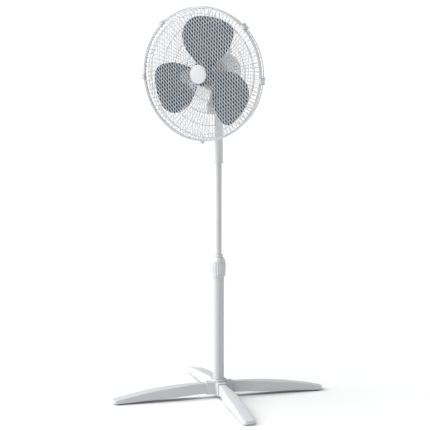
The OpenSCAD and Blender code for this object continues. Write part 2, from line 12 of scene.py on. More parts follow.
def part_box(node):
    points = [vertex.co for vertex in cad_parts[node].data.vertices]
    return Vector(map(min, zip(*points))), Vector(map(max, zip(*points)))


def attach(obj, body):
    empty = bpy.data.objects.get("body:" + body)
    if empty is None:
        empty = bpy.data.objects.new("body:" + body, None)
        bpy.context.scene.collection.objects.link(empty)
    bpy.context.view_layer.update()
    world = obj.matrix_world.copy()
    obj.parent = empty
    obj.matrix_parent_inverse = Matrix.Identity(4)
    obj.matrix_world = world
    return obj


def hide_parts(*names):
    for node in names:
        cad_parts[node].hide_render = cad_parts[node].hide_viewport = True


bl_info = {
    "name": "Pedestal fan builder",
    "version": (1, 0, 0),
    "blender": (4, 5, 0),
    "location": "View3D > Sidebar > Fan",
    "description": "Models and finishes a pedestal fan piece by piece",
    "category": "Add Mesh",
}

MM = 0.001
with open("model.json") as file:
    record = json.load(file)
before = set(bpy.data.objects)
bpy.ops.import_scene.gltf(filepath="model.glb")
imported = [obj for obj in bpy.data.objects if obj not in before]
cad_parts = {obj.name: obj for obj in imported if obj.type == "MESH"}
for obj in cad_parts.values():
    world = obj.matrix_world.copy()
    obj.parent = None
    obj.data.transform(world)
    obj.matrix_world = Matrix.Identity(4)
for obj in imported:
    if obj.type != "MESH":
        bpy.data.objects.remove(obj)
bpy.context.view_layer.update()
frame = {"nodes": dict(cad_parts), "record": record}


# ---- Places read from the frame ----

def middle(node):
    low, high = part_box(node)
    return (low + high) / 2


def half_width(node):
    low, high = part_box(node)
    return (high.x - low.x) / 2


AXIS_Z = middle("guard_badge").z
RIM = half_width("front_guard_frame")
RIM_FRONT = -(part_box("front_guard_frame")[1].y) + 1.8 * MM
FACE = -middle("front_grille").y
FACE_R = half_width("front_grille")
BADGE_FRONT = -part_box("guard_badge")[0].y
COVER_FRONT = -(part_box("guard_nut")[1].y) - 3.6 * MM
HOUSING_R = half_width("motor_rear_cover")
HOUSING_BACK = -(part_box("motor_rear_cover")[1].y)
TIP_HALF = 19 * MM
TIP_SQUARE = 2.6              # 2 is a round tip, more is squarer
TIP_DIAGONAL = 0.5 ** (1 / TIP_SQUARE)
LEG_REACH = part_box("leg_front_right")[1].x * math.sqrt(2) + TIP_HALF * (1 - 2 * TIP_DIAGONAL)
BOX_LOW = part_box("control_box_front")[0]
CHEEK_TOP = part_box("control_box_front")[1].z
CLAMP_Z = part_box("clamp_body")[0].z
COLLET_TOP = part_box("clamp_collet")[1].z
SLEEVE_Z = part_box("neck_sleeve")[0].z
HUB_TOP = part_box("base_hub")[1].z


# ---- What a user may change ----

def distance(name, note, value):
    return bpy.props.FloatProperty(name=name, description=note, default=value * MM, unit="LENGTH")


def turn_of(name, note, degrees):
    value = math.radians(degrees)
    return bpy.props.FloatProperty(name=name, description=note, default=value, subtype="ANGLE")


def amount(name, note, value, least):
    return bpy.props.IntProperty(name=name, description=note, default=value, min=least)


def colour(name, note, value):
    return bpy.props.FloatVectorProperty(name=name, description=note, default=value, size=3, subtype="COLOR")


class FanSizes(bpy.types.PropertyGroup):
    wire_radius: distance("Lattice wire radius", "Radius of the wires of the front lattice", 0.9)
    lattice_sag: distance("Lattice sag", "How far the domed face falls back from its centre to its bend", 6)
    lattice_pitch: distance("Lattice pitch", "Distance between neighbouring wires of one direction", 8.7)
    lattice_lean: turn_of("Lattice lean", "Direction that the lattice's cells are long in", 112.5)
    lattice_open: turn_of("Lattice opening", "Angle between the lattice's two directions", 47)
    spokes: amount("Rear spokes", "Spokes in the rear guard", 90, 24)
    blade_radius: distance("Blade radius", "Distance from the axis to a blade's tip", 178)
    blade_start: turn_of("Blade start", "Where the first blade points at rest", 83.5)
    nut_ribs: amount("Clamp nut ribs", "Ribs round the clamp nut", 16, 12)


class FanColours(bpy.types.PropertyGroup):
    white: colour("White mouldings", "Colour of the white plastic", (0.645, 0.655, 0.67))
    tube: colour("Painted tubes", "Colour of the pole's paint", (0.565, 0.575, 0.59))
    wire: colour("Guard wire", "Colour of the guard's coating", (0.68, 0.69, 0.71))
    blade: colour("Blades", "Colour of the impeller", (0.017, 0.052, 0.095))
    button: colour("Buttons", "Colour of the speed buttons", (0.52, 0.53, 0.55))


def sizes():
    return bpy.context.scene.fan_sizes


def colours():
    return bpy.context.scene.fan_colours


# ---- Modelling helpers ----

def clear():
    if bpy.context.object and bpy.context.object.mode != "OBJECT":
        bpy.ops.object.mode_set(mode="OBJECT")
    bpy.ops.object.select_all(action="DESELECT")


def pick(piece):
    clear()
    piece.select_set(True)
    bpy.context.view_layer.objects.active = piece


def named(name):
    piece = bpy.context.object
    piece.name = name
    piece.data.name = name
    return piece


def settle(piece):
    """Puts a piece's place into its mesh, so that its object sits at the origin."""
    pick(piece)
    bpy.ops.object.transform_apply(location=True, rotation=True, scale=True)
    return piece


@contextmanager
def editing(piece):
    """Opens a piece for editing, with all of it selected."""
    pick(piece)
    bpy.ops.object.mode_set(mode="EDIT")
    bpy.ops.mesh.select_all(action="SELECT")
    yield
    bpy.ops.object.mode_set(mode="OBJECT")


def modified(piece, kind, **settings):
    pick(piece)
    modifier = piece.modifiers.new(kind.title(), kind)
    for key, value in settings.items():
        setattr(modifier, key, value)
    bpy.ops.object.modifier_apply(modifier=modifier.name)
    return piece


def bevelled(piece, width, segments=3, angle=35):
    return modified(piece, "BEVEL", width=width, segments=segments, limit_method="ANGLE",
                    angle_limit=math.radians(angle), harden_normals=False)


def cleaned(piece):
    """Merges doubles and points every face outwards."""
    with editing(piece):
        bpy.ops.mesh.remove_doubles(threshold=0.02 * MM)
        bpy.ops.mesh.normals_make_consistent(inside=False)
    return piece


def turned(name, outline, steps=72, closed=True):
    """Turns an outline of (radius, height) points about +Z, as on a lathe."""
    clear()
    radius, height = outline[0]
    bpy.ops.mesh.primitive_plane_add(size=MM, location=(0, 0, 0))
    piece = named(name)
    if closed and radius > 0:
        outline = [*outline, outline[0]]
    with editing(piece):
        bpy.ops.mesh.merge(type="CENTER")
        bpy.ops.transform.translate(value=(radius, 0, height))
        for (r0, z0), (r1, z1) in zip(outline, outline[1:]):
            bpy.ops.mesh.extrude_region_move(TRANSFORM_OT_translate={"value": (r1 - r0, 0, z1 - z0)})
        bpy.ops.mesh.select_all(action="SELECT")
        bpy.ops.mesh.spin(steps=steps, angle=2 * math.pi, center=(0, 0, 0), axis=(0, 0, 1))
    return cleaned(piece)


def lathe(*points, out=0.0, at=0.0):
    """An outline in millimetres, with radii counted from out and heights from at."""
    return [(out + r * MM, at + z * MM) for r, z in points]


def arc(centre, radius, start, end, count=5):
    """Points of an arc in the outline's plane, with its radius in millimetres and angles in degrees."""
    radius *= MM
    points = []
    for step in range(count + 1):
        angle = math.radians(start + (end - start) * step / count)
        points.append((centre[0] + radius * math.cos(angle), centre[1] + radius * math.sin(angle)))
    return points


def on_circle(radius, angle, height):
    return (radius * math.cos(angle), radius * math.sin(angle), height)


def hoop(name, radius, wire, height, steps=144, sides=10):
    """A round wire, its radius in millimetres, bent into a hoop about +Z."""
    return turned(name, arc((radius, height), wire, 0, 360 - 360 / sides, sides - 1), steps)


def block(name, size, centre, bevel, segments=3, turn=0.0):
    """A box, its size and bevel in millimetres, turned about +Z through the origin."""
    clear()
    bpy.ops.mesh.primitive_cube_add(size=1, location=centre)
    piece = named(name)
    piece.scale = [side * MM for side in size]
    settle(piece)
    bevelled(piece, bevel * MM, segments)
    piece.rotation_euler = (0, 0, turn)
    return settle(piece)


def peg(name, radius, length, start, along="Z", sides=32, bevel=0.0):
    """A round peg from start along an axis, with its radius and bevel in millimetres."""
    clear()
    bpy.ops.mesh.primitive_cylinder_add(vertices=sides, radius=radius * MM, depth=length,
                                        location=(0, 0, length / 2))
    piece = settle(named(name))
    if bevel:
        bevelled(piece, bevel * MM, 3)
    turns = {"Z": (0, 0, 0), "Y": (-math.pi / 2, 0, 0), "X": (0, math.pi / 2, 0)}
    piece.rotation_euler = turns[along]
    piece.location = start
    return settle(piece)


def joined(name, pieces):
    clear()
    for piece in pieces:
        piece.select_set(True)
    bpy.context.view_layer.objects.active = pieces[0]
    if len(pieces) > 1:
        bpy.ops.object.join()
    return named(name)


def copied(piece, matrix):
    pick(piece)
    bpy.ops.object.duplicate(linked=False)
    twin = bpy.context.object
    twin.data.transform(matrix)
    return twin


def cut(piece, cutter):
    """Takes the cutter's shape out of a piece."""
    modified(piece, "BOOLEAN", operation="DIFFERENCE", solver="EXACT", object=cutter)
    pick(cutter)
    bpy.ops.object.delete()
    return piece


def sliced(piece, point, normal):
    """Keeps the part of a piece behind a plane, and closes the cut."""
    with editing(piece):
        bpy.ops.mesh.bisect(plane_co=point, plane_no=normal, use_fill=True, clear_outer=True)
    return piece


def shaped_grid(name, across, along, place):
    """A grid whose points go where place(u, v) says, with u and v from 0 to 1."""
    clear()
    bpy.ops.mesh.primitive_grid_add(x_subdivisions=across, y_subdivisions=along, size=2)
    piece = named(name)
    for vertex in piece.data.vertices:
        vertex.co = place((vertex.co.x + 1) / 2, (vertex.co.y + 1) / 2)
    return piece


def wires(name, runs, radius, sides=1):
    """Round wire along each run of points."""
    mesh = bpy.data.meshes.new(name)
    points = [point for run in runs for point in run]
    links, start = [], 0
    for run in runs:
        links += [(start + k, start + k + 1) for k in range(len(run) - 1)]
        start += len(run)
    mesh.from_pydata(points, links, [])
    piece = bpy.data.objects.new(name, mesh)
    bpy.context.scene.collection.objects.link(piece)
    pick(piece)
    bpy.ops.object.convert(target="CURVE")
    piece = bpy.context.object
    piece.data.bevel_depth = radius
    piece.data.bevel_resolution = sides
    piece.data.use_fill_caps = True
    bpy.ops.object.convert(target="MESH")
    return cleaned(named(name))


def head_place(piece):
    """Turns a piece made about +Z on to the fan's axis, with +Z to the front."""
    pick(piece)
    piece.rotation_euler = (math.pi / 2, 0, 0)
    piece.location = (0, 0, AXIS_Z)
    return settle(piece)


def dressed(piece, body, nodes, slot="white_plastic", angle=38):
    """Smooths a finished piece, gives it its slot's material and hangs it on its body."""
    pick(piece)
    bpy.ops.object.shade_smooth_by_angle(angle=math.radians(angle))
    piece.data.materials.clear()
    piece.data.materials.append(MATERIALS[slot])
    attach(piece, body)
    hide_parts(*nodes)
    return piece


# ---- Shader groups ----

def socket_kind(label):
    return "NodeSocketColor" if label == "Colour" else "NodeSocketFloat"


def new_group(name, inputs):
    """A group with the given inputs, and with a colour, a roughness and a height as its outputs."""
    group = bpy.data.node_groups.new(name, "ShaderNodeTree")
    for label, value in inputs.items():
        socket = group.interface.new_socket(name=label, in_out="INPUT", socket_type=socket_kind(label))
        socket.default_value = value
    for label in ("Colour", "Roughness", "Height"):
        group.interface.new_socket(name=label, in_out="OUTPUT", socket_type=socket_kind(label))
    return group, group.nodes.new("NodeGroupInput"), group.nodes.new("NodeGroupOutput")


def feed(links, value, socket):
    """Links a socket to an input, or gives the input a plain number."""
    if hasattr(value, "links"):
        links.new(value, socket)
    else:
        socket.default_value = value


def math_node(nodes, links, operation, first, second):
    node = nodes.new("ShaderNodeMath")
    node.operation = operation
    feed(links, first, node.inputs[0])
    feed(links, second, node.inputs[1])
    return node.outputs[0]


def noise(nodes, links, coordinates, scale, detail=3.0, roughness=0.55):
    node = nodes.new("ShaderNodeTexNoise")
    node.inputs["Detail"].default_value = detail
    node.inputs["Roughness"].default_value = roughness
    links.new(coordinates, node.inputs["Vector"])
    feed(links, scale, node.inputs["Scale"])
    return node.outputs["Fac"]


def shaded(nodes, links, colour_socket, shade):
    """A colour multiplied by one number."""
    node = nodes.new("ShaderNodeVectorMath")
    node.operation = "SCALE"
    links.new(colour_socket, node.inputs[0])
    links.new(shade, node.inputs["Scale"])
    return node.outputs[0]


def surface_group():
    """Moulded or painted skin: slow shade changes, handling marks and fine grain."""
    group, given, out = new_group("skin_finish", {
        "Colour": (0.8, 0.8, 0.8, 1), "Shade spread": 0.04, "Roughness": 0.35, "Roughness spread": 0.10,
        "Grain scale": 900.0, "Grain depth": 0.5, "Edge wear": 0.15})
    nodes, links = group.nodes, group.links
    place = nodes.new("ShaderNodeTexCoord").outputs["Object"]
    calc, cloud = partial(math_node, nodes, links), partial(noise, nodes, links)
    slow = cloud(place, 14.0, 2.0)
    marks = cloud(place, 70.0, 6.0, 0.7)
    fine = cloud(place, given.outputs["Grain scale"], 2.0, 0.5)
    geometry = nodes.new("ShaderNodeNewGeometry")
    edge = nodes.new("ShaderNodeMapRange")
    edge.inputs["From Min"].default_value = 0.52
    edge.inputs["From Max"].default_value = 0.62
    links.new(geometry.outputs["Pointiness"], edge.inputs["Value"])
    worn = calc("MULTIPLY", edge.outputs[0], marks)
    worn = calc("MULTIPLY", worn, given.outputs["Edge wear"])
    centred = calc("SUBTRACT", slow, 0.5)
    shade = calc("MULTIPLY", centred, given.outputs["Shade spread"])
    shade = calc("ADD", shade, 1.0)
    shade = calc("SUBTRACT", shade, worn)
    links.new(shaded(nodes, links, given.outputs["Colour"], shade), out.inputs["Colour"])
    rough = calc("SUBTRACT", marks, 0.5)
    rough = calc("MULTIPLY", rough, given.outputs["Roughness spread"])
    rough = calc("ADD", rough, given.outputs["Roughness"])
    rough = calc("ADD", rough, worn)
    links.new(rough, out.inputs["Roughness"])
    grain = calc("MULTIPLY", fine, given.outputs["Grain depth"])
    links.new(grain, out.inputs["Height"])
    return group


def brushed_group():
    """Drawn or brushed metal: streaks along one direction and dull patches."""
    group, given, out = new_group("brushed_finish", {
        "Colour": (0.7, 0.7, 0.7, 1), "Roughness": 0.3, "Streaks": 0.12})
    nodes, links = group.nodes, group.links
    place = nodes.new("ShaderNodeTexCoord").outputs["Object"]
    calc, cloud = partial(math_node, nodes, links), partial(noise, nodes, links)
    stretch = nodes.new("ShaderNodeMapping")
    stretch.inputs["Scale"].default_value = (900.0, 900.0, 30.0)
    links.new(place, stretch.inputs["Vector"])
    streak = cloud(stretch.outputs[0], 1.0, 3.0)
    patch = cloud(place, 40.0, 4.0)
    spread = calc("SUBTRACT", streak, 0.5)
    spread = calc("MULTIPLY", spread, given.outputs["Streaks"])
    shade = calc("ADD", spread, 1.0)
    links.new(shaded(nodes, links, given.outputs["Colour"], shade), out.inputs["Colour"])
    dull = calc("MULTIPLY", patch, 0.16)
    rough = calc("ADD", given.outputs["Roughness"], dull)
    links.new(calc("ADD", rough, spread), out.inputs["Roughness"])
    links.new(streak, out.inputs["Height"])
    return group


# ---- Materials ----

MATERIALS = {}


def finished_material(name, group, values, bump, constants):
    """A Principled material fed by a finish group, with its plain constants on the shader."""
    material = bpy.data.materials.new(name)
    material.use_nodes = True
    nodes, links = material.node_tree.nodes, material.node_tree.links
    shader = nodes["Principled BSDF"]
    finish = nodes.new("ShaderNodeGroup")
    finish.node_tree = group
    for label, value in values.items():
        finish.inputs[label].default_value = (*value, 1) if label == "Colour" else value
    relief = nodes.new("ShaderNodeBump")
    relief.inputs["Strength"].default_value = bump[0]
    relief.inputs["Distance"].default_value = bump[1]
    links.new(finish.outputs["Colour"], shader.inputs["Base Color"])
    links.new(finish.outputs["Roughness"], shader.inputs["Roughness"])
    links.new(finish.outputs["Height"], relief.inputs["Height"])
    links.new(relief.outputs["Normal"], shader.inputs["Normal"])
    for label, value in constants.items():
        shader.inputs[label].default_value = value
    material.diffuse_color = (*values["Colour"], 1)
    return material


def skin(name, colour, shade, roughness, rough_spread, grain, depth, wear, **constants):
    values = {"Colour": colour, "Shade spread": shade, "Roughness": roughness,
              "Roughness spread": rough_spread, "Grain scale": grain, "Grain depth": depth,
              "Edge wear": wear}
    return finished_material(name, MATERIALS["skin_finish"], values, (0.25, 0.15 * MM), constants)


def brushed(name, colour, roughness, streaks, **constants):
    values = {"Colour": colour, "Roughness": roughness, "Streaks": streaks}
    return finished_material(name, MATERIALS["brushed_finish"], values, (0.12, 0.05 * MM),
                             {"Metallic": 1.0, **constants})


def coat(weight, roughness, ior):
    """The plain shader constants of a lacquered or glossy skin."""
    return {"Coat Weight": weight, "Coat Roughness": roughness, "IOR": ior}


def make_materials():
    MATERIALS["skin_finish"] = surface_group()
    MATERIALS["brushed_finish"] = brushed_group()
    tint = colours()
    # Each row: a slot, then what skin() takes, in its order.
    skins = (
        ("white_plastic", "satin_white_moulding", tuple(tint.white), 0.05, 0.30, 0.10, 1400.0, 0.6, 0.06,
         coat(0.25, 0.18, 1.50)),
        ("button_plastic", "pale_button_moulding", tuple(tint.button), 0.04, 0.38, 0.10, 1500.0, 0.6, 0.05,
         {"IOR": 1.48}),
        ("painted_tube", "white_powder_coat", tuple(tint.tube), 0.02, 0.27, 0.03, 600.0, 0.12, 0.0,
         coat(0.45, 0.10, 1.52)),
        ("guard_wire", "dipped_white_wire", tuple(tint.wire), 0.03, 0.28, 0.08, 800.0, 0.8, 0.05,
         coat(0.4, 0.12, 1.52)),
        ("blade_plastic", "slate_blade_moulding", tuple(tint.blade), 0.10, 0.17, 0.06, 1100.0, 0.3, 0.02,
         {**coat(0.5, 0.06, 1.55), "Subsurface Weight": 0.04}),
        ("rubber", "foot_rubber", (0.035, 0.035, 0.037), 0.20, 0.72, 0.12, 1600.0, 1.0, 0.10, {}),
        ("black_plastic", "black_moulding", (0.02, 0.02, 0.022), 0.15, 0.5, 0.10, 1500.0, 0.8, 0.05, {}),
        ("gear_nylon", "natural_nylon", (0.74, 0.71, 0.60), 0.06, 0.42, 0.10, 1200.0, 0.5, 0.03,
         {"Subsurface Weight": 0.1}))
    for slot, name, *finish, constants in skins:
        MATERIALS[slot] = skin(name, *finish, **constants)
    MATERIALS["steel"] = brushed("plated_steel", (0.62, 0.63, 0.65), 0.24, 0.14)
    MATERIALS["copper"] = brushed("enamelled_copper", (0.62, 0.27, 0.12), 0.28, 0.20,
                                  **{"Coat Weight": 0.6, "Coat Roughness": 0.2})


# ---- Legs ----

ROOT_R = 24 * MM
LEG_ROOT_TOP, LEG_ROOT_LOW = 50 * MM, 15 * MM
LEG_TIP_TOP, LEG_TIP_LOW = 15.5 * MM, 3 * MM
SKIN = 2.5 * MM
QUARTERS = [math.radians(45 + 90 * k) for k in range(4)]


def leg_along(r):
    return max(0.0, min(1.0, (r - 20 * MM) / (LEG_REACH - 30 * MM)))


def leg_top(r):
    return LEG_ROOT_TOP - (LEG_ROOT_TOP - LEG_TIP_TOP) * leg_along(r) ** 2.1


def leg_low(r):
    return LEG_ROOT_LOW - (LEG_ROOT_LOW - LEG_TIP_LOW) * leg_along(r) ** 1.5


def leg_half(r):
    t = max(0.0, min(1.0, (r - 44 * MM) / (130 * MM)))
    half = 11 * MM + 8 * MM * t * t * (3 - 2 * t)
    end = LEG_REACH - TIP_HALF
    if r > end:
        reached = min(1.0, (r - end) / TIP_HALF)
        half = min(half, TIP_HALF * (1 - reached ** TIP_SQUARE) ** (1 / TIP_SQUARE))
    return max(half, 0.5 * MM)


def leg_section(r):
    """Half of an arched channel's closed outline, from its underside's middle outwards and over."""
    half, top, low = leg_half(r), leg_top(r), leg_low(r)
    drop = 3 * MM * (1 - min(1.0, half / TIP_HALF)) if r > LEG_REACH - TIP_HALF else 0.0
    top -= drop
    corner = min(2.6 * MM, 0.6 * half, 0.4 * (top - low))
    inner = max(half - SKIN, 0.2 * MM)
    roof = max(top - SKIN - 0.4 * MM, low + 0.2 * MM) if r > 52 * MM else low + 0.2 * MM
    rounding = [(half - corner + corner * math.cos(a), top - corner + corner * math.sin(a))
                for a in [math.pi / 2 * k / 5 for k in range(6)]]
    crown = 0.8 * MM * min(1.0, half / TIP_HALF)
    return [(0.0, roof), (0.7 * inner, roof), (inner, roof - 0.3 * MM), (inner, low + 0.1 * MM),
            (inner + 0.3 * MM, low), (half - 0.4 * MM, low), (half, low + 0.5 * MM),
            (half, low + 0.4 * (top - low))] + rounding + [
            ((half - corner) * 0.5, top + 0.7 * crown), (0.0, top + crown)]


def leg_stations():
    end = LEG_REACH - TIP_HALF
    straight = [ROOT_R + (end - ROOT_R) * k / 26 for k in range(27)]
    rounded = [end + TIP_HALF * math.sin(math.pi / 2 * k / 9) for k in range(1, 10)]
    return straight + rounded


def make_leg(node, turn):
    stations = leg_stations()
    outline_count = 2 * (len(leg_section(ROOT_R)) - 1)

    def place(u, v):
        r = stations[round(v * (len(stations) - 1))]
        half = leg_section(r)
        loop = half + [(-y, z) for y, z in reversed(half[1:-1])]
        y, z = loop[round(u * outline_count) % outline_count]
        return Vector((r, y, z))

    piece = cleaned(shaped_grid(node + "_shell", outline_count, len(stations) - 1, place))
    with editing(piece):
        bpy.ops.mesh.fill_holes(sides=0)
        bpy.ops.mesh.normals_make_consistent(inside=False)
    at = 47 * MM
    groove = block("groove", (1.2, 60, 60), (at, 0, leg_top(at) + 29.2 * MM), 0.2, 1)
    piece = cut(piece, groove)
    piece.rotation_euler = (0, 0, turn)
    return dressed(settle(piece), "base", [node], angle=32)


class FAN_OT_legs(bpy.types.Operator):
    """Model the four arched legs"""
    bl_idname = "fan.legs"
    bl_label = "Legs"

    def execute(self, context):
        for turn, corner in zip(QUARTERS, ("back_right", "back_left", "front_left", "front_right")):
            make_leg("leg_" + corner, turn)
        return {"FINISHED"}


class FAN_OT_hub(bpy.types.Operator):
    """Model the base hub with its sockets and collar, and the rubber pads"""
    bl_idname = "fan.hub"
    bl_label = "Base hub"

    def execute(self, context):
        low, tube = 12 * MM, half_width("lower_tube") + 0.1 * MM
        core = turned("core", [
            (tube, low + 9 * MM), *lathe((19, 0), (22.5, 0), at=low),
            *lathe((22.5, -8), (24.5, -6), at=HUB_TOP),
            *arc((23.3 * MM, HUB_TOP - 1.2 * MM), 1.2, 0, 90, 4), (tube, HUB_TOP)], 96)
        bevelled(core, 0.6 * MM, 2, 40)
        parts = [core]
        for turn in QUARTERS:
            socket = cut(block("socket", (31, 28, 40.5), (29 * MM, 0, low + 20.2 * MM), 2.2, 4),
                         block("hollow", (30, 22.8, 36), (43 * MM, 0, low + 20.4 * MM), 0.6, 2))
            lip = cut(block("lip", (3, 30, 42), (42.8 * MM, 0, low + 20.6 * MM), 1.2, 3),
                      block("mouth", (12, 22.8, 36), (43 * MM, 0, low + 20.4 * MM), 0.4, 2))
            for piece in (socket, lip):
                piece.rotation_euler = (0, 0, turn)
                parts.append(settle(piece))
        dressed(joined("base_hub_shell", parts), "base", ["base_hub"])
        at = LEG_REACH - TIP_HALF + 1 * MM
        pads = []
        for turn in QUARTERS:
            pad = turned("pad", lathe((0, 6.6), (12.4, 6.6), (13, 5.8), (13, 3.2), (13.8, 2.6), (13.8, 1.2),
                                      (13, 0), (9.6, 0), (9.2, 0.7), (5, 0.7), (4.6, 0), (0, 0)), 40)
            pad.location = on_circle(at, turn, 0)
            pads.append(settle(pad))
        dressed(joined("foot_pad_set", pads), "base", ["foot_pads"], "rubber")
        return {"FINISHED"}


# ---- Pole ----

class FAN_OT_pole(bpy.types.Operator):
    """Model the pole's two tubes, the height clamp and the neck sleeve"""
    bl_idname = "fan.pole"
    bl_label = "Pole"

    def execute(self, context):
        for node, body, wall in (("lower_tube", "base", 1.5), ("upper_tube", "neck", 1.2)):
            low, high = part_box(node)
            r = half_width(node)
            tube = turned(node + "_drawn", [
                *lathe((0, 0.5), out=r, at=low.z), *lathe((0, -0.5), (-0.4, 0), (-wall, 0), out=r, at=high.z),
                *lathe((-wall, 0), (-0.4, 0), out=r, at=low.z)], 64)
            dressed(tube, body, [node], "painted_tube")
        self.clamp()
        self.nut(*(corner.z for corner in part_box("clamp_nut")))
        self.sleeve()
        return {"FINISHED"}

    def clamp(self):
        base, thin = CLAMP_Z, half_width("upper_tube")
        tube, inner = half_width("lower_tube"), thin + 3.4 * MM
        foot = turned("clamp_foot", [
            (tube, base), (19.6 * MM, base), *arc((19.6 * MM, base + 0.9 * MM), 0.9, -90, 0, 3),
            *lathe((20.5, 3.4), (19.6, 5.4), (18.9, 5.6), (18.9, 46), at=base),
            (inner, base + 46 * MM), (inner, base + 42 * MM), (tube, base + 42 * MM)], 72)
        dressed(foot, "base", ["clamp_body"])
        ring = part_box("clamp_nut")[1].z + 0.3 * MM
        collet = turned("collet_bush", [
            (thin + 0.08 * MM, base + 30 * MM), (12.7 * MM, base + 30 * MM),
            *lathe((12.7, 0), (13.3, 0.3), (13.5, 1), at=ring), *lathe((13.5, -1), (12.6, 0), at=COLLET_TOP),
            (thin + 0.9 * MM, COLLET_TOP), (thin + 0.08 * MM, COLLET_TOP - 0.9 * MM)], 72)
        dressed(collet, "base", ["clamp_collet"])

    def nut(self, base, crown):
        ribs = sizes().nut_ribs
        rib_depth, groove_depth, run_out = 1.9 * MM, 0.9 * MM, 3 * MM
        high = crown - base - 9 * MM
        top = base + high
        profile = lathe((19.3, 0.4), (21.4, 0), (22.2, 0.6), (22.2, 2.4), (21.4, 3.4), at=base)
        profile += [(21.4 * MM, base + 3.4 * MM + (high - 10 * MM) * k / 8) for k in range(1, 9)]
        profile += lathe((22.0, -5.6), (22.0, -3.4), (21.0, -2.2), (20.4, 0), (17.6, 4.8), (14.8, 8.4),
                         (14.2, 9), (13.0, 9), (13.0, -5), (19.3, -5), at=top)
        nut = turned("clamp_nut_ribbed", profile, ribs * 12)
        low_end, high_end = base + 3 * MM, top - 6 * MM
        for vertex in nut.data.vertices:
            x, y, z = vertex.co
            r = math.hypot(x, y)
            if r > 21.3 * MM and low_end < z < high_end:
                swell = 1 - (0.5 - 0.5 * math.cos(math.atan2(y, x) * ribs)) ** 2.2
                near_end = min(1.0, (z - low_end) / run_out, (high_end - z) / run_out)
                grow = 1 + (rib_depth * swell * max(0.25, near_end) - groove_depth) / r
                vertex.co = (x * grow, y * grow, z)
        dressed(nut, "clamp", ["clamp_nut"], angle=50)

    def sleeve(self):
        base, top = SLEEVE_Z, BOX_LOW.z
        tube = half_width("upper_tube")
        sleeve = turned("neck_sleeve_shell", [
            (tube + 0.05 * MM, base + 1 * MM), (tube + 1 * MM, base),
            *lathe((14.0, 0), (14.7, 0.8), (14.6, 3.5), (13.9, 6), (13.5, 10), at=base),
            *lathe((13.5, -12), (14.6, -7), (16.4, -3), (18.3, -0.3), at=top),
            (tube + 0.05 * MM, top - 0.3 * MM)], 72)
        dressed(sleeve, "neck", ["neck_sleeve"])


# ---- Control box ----

def box_body(name):
    """The control box's case before it is split, with its upright edges well rounded."""
    width, low = 56 * MM, BOX_LOW.z
    deck = low + 42 * MM
    clear()
    bpy.ops.mesh.primitive_cube_add(size=1, location=(0, 0, (low + deck) / 2))
    case = named(name)
    case.scale = (width, 58 * MM, deck - low)
    settle(case)
    with editing(case):
        bpy.ops.mesh.select_all(action="DESELECT")
    for edge in case.data.edges:
        a, b = (case.data.vertices[k].co for k in edge.vertices)
        edge.select = abs(a.z - b.z) > 1 * MM
    bpy.ops.object.mode_set(mode="EDIT")
    bpy.ops.mesh.bevel(offset=9 * MM, segments=8, affect="EDGES")
    bpy.ops.object.mode_set(mode="OBJECT")
    bevelled(case, 2.4 * MM, 4, 50)
    return case


def cheek(side):
    """One cheek of the tilt fork, a plate with a round head."""
    low, pivot = BOX_LOW.z, middle("tilt_pin")
    head = CHEEK_TOP - pivot.z
    thick, centre = 7.7 * MM, side * 24.05 * MM
    clear()
    bpy.ops.mesh.primitive_cylinder_add(vertices=48, radius=head, depth=thick, location=(0, 0, 0),
                                        rotation=(0, math.pi / 2, 0))
    plate = settle(named("cheek"))
    for vertex in plate.data.vertices:
        if vertex.co.z < -0.2 * head:
            vertex.co.z = -(pivot.z - low - 36 * MM)
            vertex.co.y *= 1.75
    plate.location = (centre, pivot.y, pivot.z)
    settle(plate)
    return bevelled(cleaned(plate), 1.2 * MM, 3, 50)


